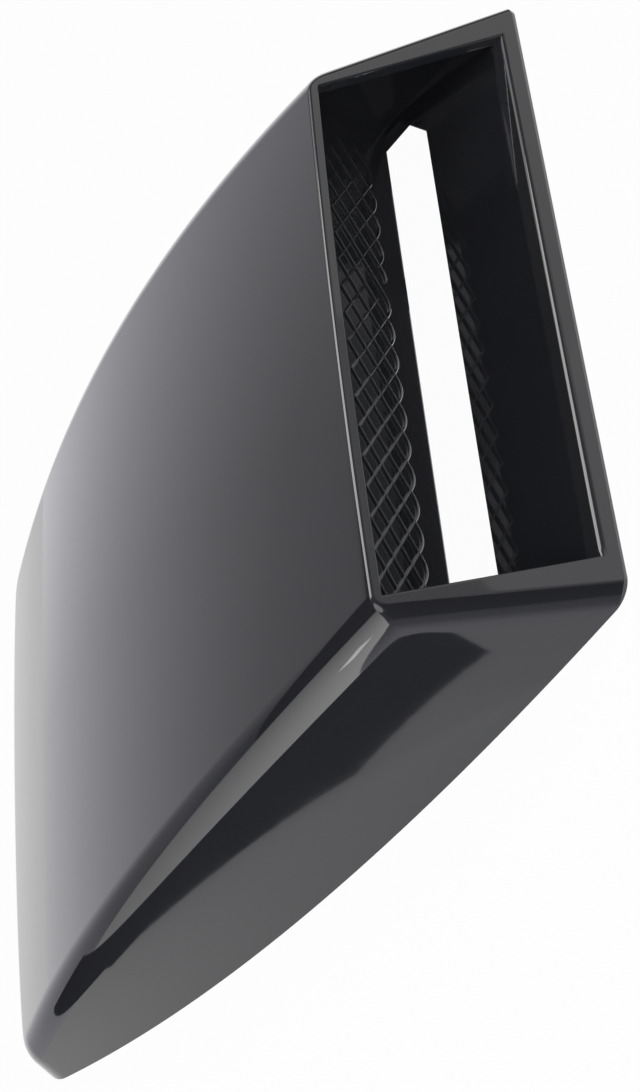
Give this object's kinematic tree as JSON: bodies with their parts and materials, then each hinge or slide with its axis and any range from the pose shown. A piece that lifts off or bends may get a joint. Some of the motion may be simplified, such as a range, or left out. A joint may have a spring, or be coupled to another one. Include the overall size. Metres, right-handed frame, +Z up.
{
  "type": "bonnet scoop",
  "caption": "Low stick-on bonnet scoop: a domed gloss panel with leaning side walls, a raked open mouth, a slot in its floor and a mesh-patterned back wall.",
  "frame": {"origin": "middle of the base on the bonnet, half way between the lower lip and the tail", "axes": "+X across the scoop, +Y from the mouth back to the tail, +Z up off the bonnet; the mouth faces -Y"},
  "size_m": [0.2526, 0.2842, 0.0446],
  "materials": {
    "gloss_abs": "gloss"
  },
  "bodies": {
    "root": {"scoop": "gloss_abs"}
  },
  "joints": []
}
